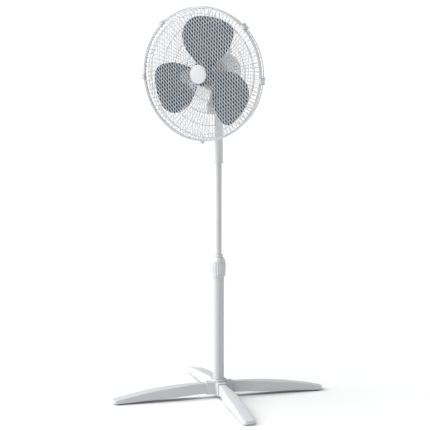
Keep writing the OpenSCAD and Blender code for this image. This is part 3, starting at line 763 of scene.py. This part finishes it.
class FAN_OT_control_box(bpy.types.Operator):
    """Model the control box's two shells, its buttons and its gland"""
    bl_idname = "fan.control_box"
    bl_label = "Control box"

    def execute(self, context):
        split = middle("tilt_pin").y
        seam = 0.18 * MM
        for name, node, facing in (("control_front_shell", "control_box_front", 1),
                                   ("control_rear_shell", "control_box_rear", -1)):
            at = split - seam * facing
            shells = [sliced(shell, (0, at, 0), (0, facing, 0))
                      for shell in (box_body(name), cheek(-1), cheek(1))]
            if facing == 1:
                shells[0] = self.front_panel(shells[0])
            dressed(joined(name, shells), "neck", [node], angle=40)
        for k, body in enumerate(("button_off", "button_low", "button_medium", "button_high")):
            self.button(f"button_{k}", body)
        self.gland()
        return {"FINISHED"}

    def front_panel(self, body):
        """A sunk panel with a slot for each key."""
        body = cut(body, block("panel", (47, 3, 24), (0, BOX_LOW.y + 6.6 * MM, BOX_LOW.z + 30.5 * MM), 1, 2))
        for k in range(4):
            centre = middle(f"button_{k}")
            at = (centre.x, BOX_LOW.y + 12 * MM, centre.z)
            body = cut(body, block("slot", (9.7, 24, 17.7), at, 0.4, 2))
        return body

    def button(self, node, body):
        low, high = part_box(node)
        centre = middle(node)
        key = block(node + "_key", (9, 11, 17), (centre.x, low.y + 6.7 * MM, centre.z), 1.3, 4)
        cap = cut(block("cap", (7.2, 3, 12.5), (centre.x, low.y + 1.6 * MM, centre.z), 1.2, 4),
                  block("dimple", (4.6, 1, 1.1), (centre.x, low.y, centre.z + 3.4 * MM), 0.3, 2))
        stem = block("stem", (5, 15, 6), (centre.x, high.y - 7.5 * MM, centre.z), 0.4, 2)
        dressed(joined(node + "_key", [key, cap, stem]), body, [node], "button_plastic")

    def gland(self):
        gland = turned("cord_gland_boot", lathe(
            (3, 0), (4.9, 0), (4.9, 6), (6.5, 6), (6.5, 7.8), (5.9, 8.5), (5.2, 9), (5.2, 10.4), (4.7, 10.6),
            (4.7, 11.4), (5, 11.6), (4.8, 13), (4.3, 13.2), (4.3, 14), (4.6, 14.2), (4.2, 16.4), (3.8, 17.3),
            (3, 17.3)), 40)
        centre = middle("cord_gland")
        gland.rotation_euler = (-math.pi / 2, 0, 0)
        gland.location = (centre.x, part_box("cord_gland")[0].y, centre.z)
        dressed(settle(gland), "neck", ["cord_gland"])


# ---- Motor head ----

class FAN_OT_motor_head(bpy.types.Operator):
    """Model the two motor covers, the tilting neck with its pin, and the oscillation knob"""
    bl_idname = "fan.motor_head"
    bl_label = "Motor head"

    def execute(self, context):
        self.rear_cover()
        self.front_cover()
        self.neck()
        self.knob()
        return {"FINISHED"}

    def rear_cover(self):
        r, back, wall, round_off = HOUSING_R, HOUSING_BACK, 2.5, 36
        split = 18 * MM
        centre = (r - round_off * MM, back + round_off * MM)
        cover = turned("rear_cover_shell", [
            *lathe((0, 0), (12, 0), (20, 0.3), at=back), *arc(centre, round_off, -84, 0, 14),
            *lathe((0, -3.2), (-0.8, -2.6), (-0.8, -1.4), (0, -0.8), (0, 0), (-wall, 0), out=r, at=split),
            (r - wall * MM, back + round_off * MM), *arc(centre, round_off - wall, 0, -84, 10),
            (0, back + wall * MM)], 96, closed=False)
        cutters = [block("vent", (12, 2.4, 24), (r - 2 * MM, 0, -6 * MM), 1, 2, math.radians(side + 9 * k))
                   for side in (0, 90, 180) for k in range(-4, 5)]
        cutters += [block("vent", (44 - abs(k) * 6, 3, 10), (0, 7 * MM * k, back + 1 * MM), 1.2, 2)
                    for k in range(-3, 4)]
        cover = head_place(cut(cover, joined("vents", cutters)))
        pivot, knob = middle("tilt_pin").y, middle("oscillation_knob")
        cover = cut(cover, peg("hole", 16, 20 * MM, (0, pivot, AXIS_Z - HOUSING_R - 5 * MM), "Z", 48))
        cover = cut(cover, peg("hole", 3.6, 70 * MM, (knob.x, knob.y, AXIS_Z + 10 * MM)))
        dressed(cover, "head", ["motor_rear_cover"], angle=30)

    def front_cover(self):
        r, front, split = HOUSING_R, COVER_FRONT, 18.2 * MM
        cover = turned("front_cover_shell", [
            (15 * MM, front + 12 * MM), (15 * MM, split + 18 * MM),
            *lathe((-2.5, 18), (-2.5, 0), (-0.5, 0), (0, 0.5), out=r, at=split), (r, front - 11 * MM),
            *arc((r - 10 * MM, front - 10 * MM), 10, 0, 90, 8),
            *lathe((22, 0), (20, 0.4), (20, 11.4), (19.4, 12), at=front)], 96)
        slots = [block("slot", (17, 3.2, 40), (38 * MM, 0, front), 1.4, 2, math.radians(30 * k))
                 for k in range(12)]
        cover = cut(cover, joined("slots", slots))
        dressed(head_place(cover), "head", ["motor_front_cover"], angle=30)

    def neck(self):
        low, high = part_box("tilt_bracket")
        pin = middle("tilt_pin")

        def bored(piece):
            return cut(piece, peg("bore", 3.1, 60 * MM, (-30 * MM, pin.y, pin.z), "X"))

        barrel = bored(peg("barrel", 11, high.x - low.x, (low.x, pin.y, pin.z), "X", 48, 1))
        column = turned("column", lathe((0, 0), (13.2, 0), (14.2, 3), (14.4, 22.8), (13.4, 24), (5, 24),
                                        (5, 14), (0, 14)), 64, closed=False)
        column.location = (0, pin.y, pin.z)
        column = bored(settle(column))
        post = peg("post", 2.4, high.z - pin.z - 18 * MM, (10 * MM, pin.y, pin.z + 18 * MM), "Z", 24, 0.5)
        dressed(joined("tilt_neck", [barrel, column, post]), "tilt_head", ["tilt_bracket"])
        pin_low, pin_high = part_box("tilt_pin")
        rod = peg("rod", 3, pin_high.x - pin_low.x - 2 * MM, (pin_low.x + 1 * MM, pin.y, pin.z), "X")
        heads = []
        for side in (-1, 1):
            cap = lathe((0, 0), (5.5, 0), (5.5, 0.8), (4.9, 1.8), (3.4, 2.3), (0, 2.4))
            cap = turned("pin_head", cap, 40)
            for turn in (0.0, math.pi / 2):
                cap = cut(cap, block("bar", (5.4, 0.9, 2), (0, 0, 2.2 * MM), 0.2, 1, turn))
            cap.rotation_euler = (0, side * math.pi / 2, 0)
            cap.location = (side * (pin_high.x - 2.4 * MM), pin.y, pin.z)
            heads.append(settle(cap))
        dressed(joined("tilt_pin_set", [rod, *heads]), "neck", ["tilt_pin"], "steel")

    def knob(self):
        low, high = (corner.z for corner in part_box("oscillation_knob"))
        cap = high - 15 * MM
        knob = turned("oscillation_knob_cap", [
            (0, low), (2 * MM, low), *lathe((2, 0), (4.6, 0), (5.1, 0.5), at=cap),
            *lathe((6.3, -4.2), (6.5, -3.2), (6.0, -1.6), (4.6, -0.4), (2.4, 0), (0, 0), at=high)],
            48, closed=False)
        for vertex in knob.data.vertices:
            x, y, z = vertex.co
            if high - 12 * MM < z < high - 2 * MM:
                grow = 1 - 0.07 * (0.5 - 0.5 * math.cos(12 * math.atan2(y, x)))
                vertex.co = (x * grow, y * grow, z)
        centre = middle("oscillation_knob")
        knob.location = (centre.x, centre.y, 0)
        dressed(settle(knob), "knob", ["oscillation_knob"], angle=45)


# ---- Guard ----

def lattice_runs(angle, pitch, height, shift):
    """Parallel wires across the slightly domed face, each bent back at the rim and run to the rim hoop."""
    bend = FACE_R - 7 * MM
    sag = sizes().lattice_sag
    rim, rim_height = RIM - 1.8 * MM, RIM_FRONT
    hole = 24 * MM
    ahead = Vector((math.cos(angle), math.sin(angle), 0))
    aside = Vector((-ahead.y, ahead.x, 0))

    def on_face(off, reach):
        point = aside * off + ahead * reach
        point.z = height - sag * (off ** 2 + reach ** 2) / bend ** 2
        return point

    def tail(off, reach):
        end = aside * off + ahead * reach
        turn = math.atan2(end.y, end.x)
        steps = ((3.4 * MM, 0.5 * MM), (6.6 * MM, 1.7 * MM), (9.4 * MM, 4.0 * MM))
        return [Vector(on_circle(bend + r, turn, height - sag - drop)) for r, drop in steps] + [
            Vector(on_circle(rim, turn, rim_height))]

    runs, count = [], int(bend / pitch) + 1
    for k in range(-count, count + 1):
        off = (k + shift) * pitch
        if abs(off) > bend - 1 * MM:
            continue
        reach = math.sqrt(bend ** 2 - off ** 2)
        inner = math.sqrt(hole ** 2 - off ** 2) if abs(off) < hole else 0.0
        halves = [[on_face(off, sign * (inner + (reach - inner) * n / 10)) for n in range(11)]
                  + tail(off, sign * reach) for sign in (-1, 1)]
        if inner:
            runs += halves
        else:
            runs.append(halves[0][:0:-1] + halves[1])
    return runs


class FAN_OT_front_guard(bpy.types.Operator):
    """Model the diamond lattice of the front guard, its hoops and the badge"""
    bl_idname = "fan.front_guard"
    bl_label = "Front guard"

    def execute(self, context):
        opt = sizes()
        wire = opt.wire_radius
        half_open = opt.lattice_open / 2
        layers = []
        for sign, lift in ((-1, -wire), (1, wire * 0.9)):
            runs = lattice_runs(opt.lattice_lean + sign * half_open, opt.lattice_pitch, FACE + lift, 0.5)
            layers.append(wires("lattice_layer", runs, wire))
        lattice = joined("front_lattice", layers)
        dressed(head_place(lattice), "head", ["front_grille"], "guard_wire", 60)
        hoops = [hoop("hoop", RIM - 1.8 * MM, 1.8, RIM_FRONT),
                 hoop("hoop", FACE_R - 4.5 * MM, 1.2, FACE - opt.lattice_sag - 3.2 * MM)]
        dressed(head_place(joined("front_hoops", hoops)), "head", ["front_guard_frame"], "guard_wire", 60)
        self.badge()
        return {"FINISHED"}

    def badge(self):
        r, front = half_width("guard_badge"), BADGE_FRONT
        back = front - 4.5 * MM
        badge = turned("guard_badge_disc", [
            *lathe((0, 0), (20, 0), (20, 1.6), at=back),
            *lathe((-0.8, 1.6), (0, 2.2), (0, 3.0), (-0.6, 3.7), out=r, at=back),
            *lathe((-1.8, 0), (-3.4, 0), (-4.0, -0.5), (-4.6, -0.5), (-5.6, -0.1), out=r, at=front),
            (r * 0.5, front - 0.02 * MM), (0, front)], 96, closed=False)
        dressed(head_place(badge), "head", ["guard_badge"], angle=25)


class FAN_OT_rear_guard(bpy.types.Operator):
    """Model the rear guard's spokes, rings and centre plate, and its nut"""
    bl_idname = "fan.rear_guard"
    bl_label = "Rear guard"

    def execute(self, context):
        root = (46 * MM, COVER_FRONT + 2.5 * MM)
        corner = (RIM - 5.2 * MM, 79 * MM)
        rim = (RIM - 0.6 * MM, 104.5 * MM)
        path = [root, *lathe((-12, -2.6), (-6, -0.9), (-2.6, -0.7), (-0.7, 2.6), (0.6, 5),
                             out=corner[0], at=corner[1]), rim]
        count = sizes().spokes
        runs = [[Vector(on_circle(r, 2 * math.pi * k / count, d)) for r, d in path] for k in range(count)]
        spokes = wires("spokes", runs, 0.95 * MM)
        rings = []
        for t in (0.27, 0.52, 0.76):
            r = root[0] + t * (corner[0] - root[0])
            d = root[1] + t * (corner[1] - 2.6 * MM - root[1])
            rings.append(hoop("ring", r, 1.2, d - 1.9 * MM))
        rings.append(hoop("ring", corner[0] + 0.2 * MM, 1.4, corner[1] - 1.2 * MM))
        rings.append(hoop("ring", rim[0] - 0.9 * MM, 1.7, rim[1]))
        plate = turned("plate", lathe(
            (20.4, 0), (44, 0), (50, 0.6), (50.4, 1.2), (49.6, 2.6), (43, 2.8), (41, 1.6), (30, 1.6),
            (29, 2.6), (20.4, 2.8), at=COVER_FRONT + 0.3 * MM), 96)
        guard = joined("rear_guard_cage", [spokes, *rings, plate])
        dressed(head_place(guard), "head", ["rear_guard"], "guard_wire", 50)
        self.nut()
        return {"FINISHED"}

    def nut(self):
        back = COVER_FRONT + 3.6 * MM
        nut = turned("guard_nut_ring", lathe((20.1, 0), (28, 0), (29, 1), (29, 6), (27.6, 7.5), (21, 7.5),
                                             (20.1, 6.8), at=back), 72)
        lugs = [block("lug", (7, 8, 6), (30.4 * MM, 0, back + 3.6 * MM), 1.4, 3, math.radians(60 * k + 15))
                for k in range(6)]
        dressed(head_place(joined("guard_nut_ring", [nut, *lugs])), "head", ["guard_nut"])


CLIPS = (("guard_clip_1", 45, "clip_upper_right"), ("guard_clip_2", -4, "clip_right"),
         ("guard_clip_3", 133, "clip_upper_left"), ("guard_clip_4", 184, "clip_left"))
CLIP_PIN_R, CLIP_PIN_D = RIM + 7 * MM, 96 * MM
CLIP_WIDE = 15


class FAN_OT_rim(bpy.types.Operator):
    """Model the trim ring and the snap clips round the guard's rim"""
    bl_idname = "fan.rim"
    bl_label = "Rim and clips"

    def execute(self, context):
        low, high = 102.6 * MM, 111.6 * MM
        inner, outer = RIM + 0.9 * MM, RIM + 3.2 * MM
        band = turned("trim_band", [
            *arc((outer - 1.2 * MM, high - 1.2 * MM), 1.2, 0, 90, 3),
            *arc((inner + 0.5 * MM, high - 0.5 * MM), 0.5, 90, 180, 2),
            *arc((inner + 0.5 * MM, low + 0.5 * MM), 0.5, 180, 270, 2),
            *arc((outer - 1.2 * MM, low + 1.2 * MM), 1.2, 270, 360, 3),
            *lathe((-0.35, -1), (-0.35, 1), out=outer, at=(low + high) / 2)], 168)
        lugs = [block("lug", (6.9, 3, 10.4), (RIM + 6.4 * MM, side * 9.3 * MM, 98.4 * MM), 0.7, 2,
                      math.radians(degrees)) for _, degrees, _ in CLIPS for side in (-1, 1)]
        tab = block("tab", (9, 12, 4), (RIM + 6.1 * MM, 0, 103 * MM), 0.9, 3, math.radians(-90))
        dressed(head_place(joined("trim_ring_band", [band, *lugs, tab])), "head", ["trim_ring"])
        for node, degrees, body in CLIPS:
            self.clip(node, math.radians(degrees), body)
        return {"FINISHED"}

    def clip(self, node, turn, body):
        at = CLIP_PIN_D
        barrel = peg("barrel", 2.2, 15 * MM, (CLIP_PIN_R, -7.5 * MM, at), "Y", 24, 0.3)
        pin = peg("pin", 1.15, 21 * MM, (CLIP_PIN_R, -10.5 * MM, at), "Y", 16, 0.2)
        back = block("back", (2.8, CLIP_WIDE, 20.4), (RIM + 6.5 * MM, 0, at + 9.8 * MM), 0.9, 3)
        lip = block("lip", (10.2, CLIP_WIDE, 2.4), (RIM + 2.7 * MM, 0, at + 18.8 * MM), 0.9, 3)
        ribs = [block("rib", (1.1, 12, 0.9), (RIM + 7.7 * MM, 0, at + z * MM), 0.3, 2)
                for z in (11, 13.4, 15.8)]
        clip = joined(node + "_latch", [barrel, pin, back, lip, *ribs])
        clip.rotation_euler = (0, 0, turn)
        dressed(head_place(settle(clip)), body, [node])


# ---- Impeller ----

HUB_R, HUB_BACK, HUB_FRONT = 39 * MM, 66 * MM, 106 * MM
LEAD_HALF, TRAIL_HALF = math.radians(33), math.radians(36)


def blade_point(u, v):
    """A point of the blade that stands at angle 0: u runs from leading to trailing edge, v outwards."""
    tip = sizes().blade_radius
    tip -= 24 * MM * (max(0.0, 0.14 - u) / 0.14) ** 2 + 42 * MM * (max(0.0, u - 0.62) / 0.38) ** 2.2
    root = HUB_R - 3 * MM
    spread = 1 + 0.16 * math.sin(math.pi * v) + 0.1 * (1 - v)
    angle = (-LEAD_HALF + (LEAD_HALF + TRAIL_HALF) * u) * spread
    r = root + (tip - root) * v
    depth = (70 + 14 * v) * MM + (33 - 5 * v) * MM * (u + 0.16 * math.sin(math.pi * u))
    return Vector((r * math.cos(angle), r * math.sin(angle), depth))


class FAN_OT_impeller(bpy.types.Operator):
    """Model the three-blade impeller and its spinner"""
    bl_idname = "fan.impeller"
    bl_label = "Impeller"

    def execute(self, context):
        blade = shaped_grid("blade", 30, 24, blade_point)
        modified(blade, "SOLIDIFY", thickness=2.2 * MM, offset=1.0)
        cleaned(blade)
        bevelled(blade, 0.7 * MM, 3, 50)
        start = sizes().blade_start
        parts = [copied(blade, Matrix.Rotation(start + math.radians(120 * k), 4, "Z")) for k in range(3)]
        pick(blade)
        bpy.ops.object.delete()
        edge = HUB_R - 5 * MM
        hub = turned("hub", [
            *lathe((4.05, 4), (10, 4), at=HUB_BACK),
            *lathe((10, -4.5), (33.5, -4.5), (35.5, -7), at=HUB_FRONT),
            *lathe((35.8, 0), (38.2, 0), (39, 0.8), at=HUB_BACK), (HUB_R, HUB_FRONT - 6 * MM),
            *arc((edge, HUB_FRONT - 5 * MM), 5, 0, 80, 6),
            *lathe((30, -0.6), (29, -1.4), (18.6, -1.4), (17.8, -0.6), (4.05, -0.4), at=HUB_FRONT)], 96)
        ribs = [block("rib", (25, 1.8, 26), (22.5 * MM, 0, HUB_BACK + 22 * MM), 0.4, 2,
                      start + math.radians(60 * k)) for k in range(6)]
        impeller = joined("impeller", [hub, *ribs, *parts])
        dressed(head_place(impeller), "rotor", ["fan_blade"], "blade_plastic", 40)
        r, base = half_width("spinner"), HUB_FRONT + 0.1 * MM
        turns = [math.pi / 2 * k / 12 for k in range(12)]
        dome = [(r * math.cos(a), base + 5 * MM + 8 * MM * math.sin(a)) for a in turns]
        cap = turned("spinner_cap", [
            (4.05 * MM, base), (r - 0.8 * MM, base), (r, base + 0.8 * MM), *dome,
            *lathe((3, 13), (0, 13), (0, 6.2), (4.05, 6.2), at=base)], 64)
        dressed(head_place(cap), "rotor", ["spinner"], "blade_plastic", 35)
        return {"FINISHED"}


# ---- Inner pieces ----

class FAN_OT_inner_pieces(bpy.types.Operator):
    """Give each piece that keeps its own shape the finish of its slot"""
    bl_idname = "fan.inner_pieces"
    bl_label = "Inner pieces"

    def execute(self, context):
        for row in frame["record"]["subparts"]:
            piece = frame["nodes"][row["node"]]
            pick(piece)
            bpy.ops.object.shade_smooth_by_angle(angle=math.radians(30))
            piece.data.materials.clear()
            piece.data.materials.append(MATERIALS[row["material_slot"]])
        return {"FINISHED"}


# ---- Stage ----

AZIMUTH, ELEVATION = math.radians(29.5), math.radians(9.12)
CAMERA_AWAY = 5.38
CAMERA_LENS = 141.9
AIM = Vector((0, 0, 0.5937))
AIM_ASIDE = -0.0117
FLOOR_WIDE = 240
FLOOR_SHADE = (0.87, 0.87, 0.87, 1)
SKY, SKY_STRENGTH = (0.97, 0.985, 1.0, 1), 0.25
# Each light: name, degrees round from the camera's right, degrees above the floor, strength, spread.
SUNS = (("key_sun", 186, 50, 3.35, 60), ("side_sun", 182, 16, 1.1, 24), ("rim_sun", 20, 25, 0.55, 40))


class FAN_OT_stage(bpy.types.Operator):
    """Set the floor, the lights and the camera"""
    bl_idname = "fan.stage"
    bl_label = "Stage"

    def execute(self, context):
        clear()
        bpy.ops.mesh.primitive_plane_add(size=FLOOR_WIDE, location=(0, 0, 0))
        floor = named("floor")
        paper = bpy.data.materials.new("pale_floor")
        paper.use_nodes = True
        shader = paper.node_tree.nodes["Principled BSDF"]
        shader.inputs["Base Color"].default_value = FLOOR_SHADE
        shader.inputs["Roughness"].default_value = 0.9
        shader.inputs["Specular IOR Level"].default_value = 0.1
        floor.data.materials.append(paper)
        world = bpy.data.worlds.new("studio")
        world.use_nodes = True
        sky = world.node_tree.nodes["Background"]
        sky.inputs["Color"].default_value = SKY
        sky.inputs["Strength"].default_value = SKY_STRENGTH
        context.scene.world = world
        context.scene.view_settings.view_transform = "Standard"
        for name, aside, above, strength, spread in SUNS:
            self.sun(name, AZIMUTH + math.radians(aside), math.radians(above), strength, math.radians(spread))
        right = Vector((math.cos(AZIMUTH), math.sin(AZIMUTH), 0))
        ahead = Vector((-math.sin(AZIMUTH) * math.cos(ELEVATION), math.cos(AZIMUTH) * math.cos(ELEVATION),
                        -math.sin(ELEVATION)))
        data = bpy.data.cameras.new("camera")
        data.lens = CAMERA_LENS
        data.sensor_width = 36
        data.clip_end = 200
        camera = bpy.data.objects.new("camera", data)
        context.scene.collection.objects.link(camera)
        camera.location = AIM + right * AIM_ASIDE - ahead * CAMERA_AWAY
        camera.rotation_mode = "QUATERNION"
        camera.rotation_quaternion = ahead.to_track_quat("-Z", "Y")
        context.scene.camera = camera
        return {"FINISHED"}

    def sun(self, name, azimuth, elevation, strength, spread):
        """A broad soft light from one direction, the same over the whole floor."""
        clear()
        bpy.ops.object.light_add(type="SUN", location=(0, 0, 3))
        lamp = bpy.context.object
        lamp.name = name
        lamp.data.energy = strength
        lamp.data.angle = spread
        source = Vector((math.cos(azimuth) * math.cos(elevation), math.sin(azimuth) * math.cos(elevation),
                         math.sin(elevation)))
        lamp.rotation_mode = "QUATERNION"
        lamp.rotation_quaternion = (-source).to_track_quat("-Z", "Y")


# ---- Panel and registration ----

OPERATORS = (FAN_OT_stage, FAN_OT_inner_pieces, FAN_OT_legs, FAN_OT_hub, FAN_OT_pole, FAN_OT_control_box,
             FAN_OT_motor_head, FAN_OT_rear_guard, FAN_OT_impeller, FAN_OT_front_guard, FAN_OT_rim)


class FAN_PT_builder(bpy.types.Panel):
    bl_label = "Pedestal fan"
    bl_idname = "FAN_PT_builder"
    bl_space_type = "VIEW_3D"
    bl_region_type = "UI"
    bl_category = "Fan"

    def draw(self, context):
        for operator in OPERATORS:
            self.layout.operator(operator.bl_idname)


CLASSES = (FanSizes, FanColours, *OPERATORS, FAN_PT_builder)


def register():
    for item in CLASSES:
        bpy.utils.register_class(item)
    bpy.types.Scene.fan_sizes = bpy.props.PointerProperty(type=FanSizes)
    bpy.types.Scene.fan_colours = bpy.props.PointerProperty(type=FanColours)


def unregister():
    del bpy.types.Scene.fan_sizes
    del bpy.types.Scene.fan_colours
    for item in reversed(CLASSES):
        bpy.utils.unregister_class(item)


def main():
    register()
    make_materials()
    bpy.ops.fan.stage()
    bpy.ops.fan.inner_pieces()
    bpy.ops.fan.legs()
    bpy.ops.fan.hub()
    bpy.ops.fan.pole()
    bpy.ops.fan.control_box()
    bpy.ops.fan.motor_head()
    bpy.ops.fan.rear_guard()
    bpy.ops.fan.impeller()
    bpy.ops.fan.front_guard()
    bpy.ops.fan.rim()
    clear()


if __name__ == "__main__":
    main()
